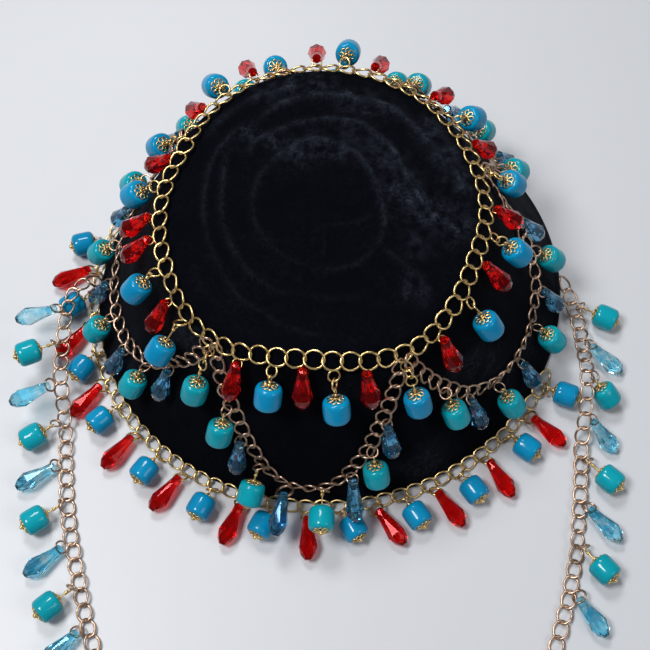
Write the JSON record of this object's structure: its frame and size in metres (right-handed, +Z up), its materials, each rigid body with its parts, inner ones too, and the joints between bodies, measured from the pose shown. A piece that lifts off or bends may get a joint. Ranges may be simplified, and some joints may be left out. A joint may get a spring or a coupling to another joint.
{
  "type": "fez",
  "caption": "Brimless black velvet fez with a flat crown, a spiral rib and draped chains of glass beads and cut drops, laid down with its chin chain in front.",
  "frame": {"origin": "middle of the rim oval, on the surface the hat stands on", "axes": "+Z up through the crown, -Y towards the front of the hat, where the chin chain is laid out, +X to the right of that view"},
  "size_m": [0.2376, 0.2954, 0.0717],
  "materials": {
    "crown_velvet": "crushed velvet, black with a cool sheen",
    "band_velvet": "velvet, black with a cool sheen",
    "gold_chain": "polished gold plating",
    "rose_gold_chain": "polished rose gold plating",
    "blue_bead": "glossy opaque blue glass",
    "teal_bead": "glossy opaque teal glass",
    "red_drop": "cut clear red glass",
    "blue_drop": "cut clear light blue glass"
  },
  "bodies": {
    "root": {"crown_top": "crown_velvet", "side_wall": "band_velvet", "crown_chain": "gold_chain", "rim_chain": "gold_chain", "swag_front": "rose_gold_chain", "swag_right": "rose_gold_chain", "swag_back_right": "rose_gold_chain", "swag_back": "rose_gold_chain", "swag_back_left": "rose_gold_chain", "swag_left": "rose_gold_chain", "chin_chain": "rose_gold_chain"}
  },
  "joints": []
}
